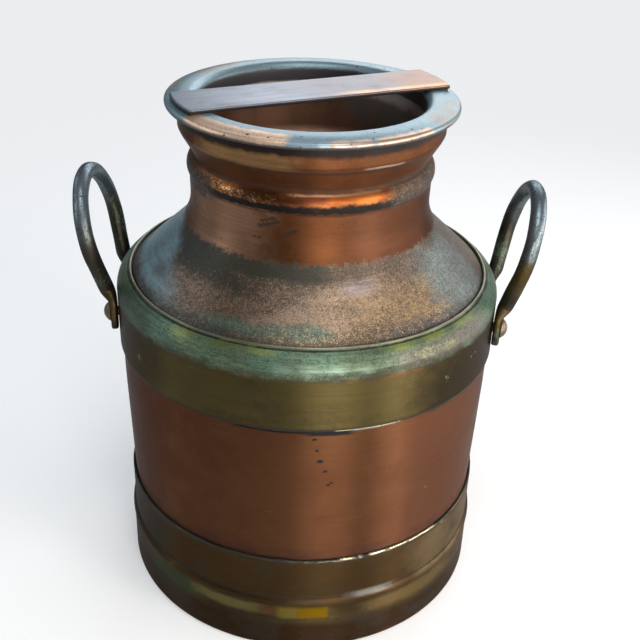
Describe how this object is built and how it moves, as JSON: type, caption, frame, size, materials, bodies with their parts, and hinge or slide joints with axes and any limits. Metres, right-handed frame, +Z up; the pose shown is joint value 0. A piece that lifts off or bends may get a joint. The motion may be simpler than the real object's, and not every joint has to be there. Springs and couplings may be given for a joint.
{
  "type": "milk pot",
  "caption": "Round copper milk pot with a brass base band and shoulder collar, narrow beaded neck, two riveted loop handles and a lift-out plug lid with a strap grip.",
  "frame": {"origin": "centre of the foot, on the surface that the pot stands on", "axes": "+Z up along the pot's axis, handles on +X and -X, front faces -Y"},
  "size_m": [0.261, 0.2202, 0.2988],
  "materials": {
    "body_copper": "aged copper sheet, brushed, reddish brown",
    "neck_copper": "aged spun copper with dark patina on the cone",
    "lid_copper": "copper with a blue-grey worn tinned flange",
    "base_brass": "tarnished olive brass",
    "collar_brass": "tarnished olive brass with verdigris",
    "strap_metal": "worn tinned copper bar",
    "handle_bronze": "dark tarnished bronze rod",
    "rivet_copper": "tarnished copper",
    "iron_wire": "black iron wire, hidden in the curls",
    "solder": "dull tin solder"
  },
  "bodies": {
    "pot": {"body_shell": "body_copper", "bottom_plate": "body_copper", "bottom_solder": "solder", "base_band": "base_brass", "foot_wire": "iron_wire", "base_solder": "solder", "shoulder_collar": "collar_brass", "hem_solder": "solder", "neck": "neck_copper", "lip_solder": "solder", "mouth_wire": "iron_wire", "handle_left": "handle_bronze", "handle_right": "handle_bronze", "handle_rivets": "rivet_copper", "rivet_burrs": "rivet_copper"},
    "lid": {"lid_pan": "lid_copper", "lid_rim_wire": "iron_wire", "lid_strap": "strap_metal", "strap_solder": "solder"}
  },
  "joints": [
    {"name": "lid_lift", "type": "slide", "parent": "pot", "child": "lid", "axis": [0, 0, 1], "range_m": [0, 0.12]}
  ]
}
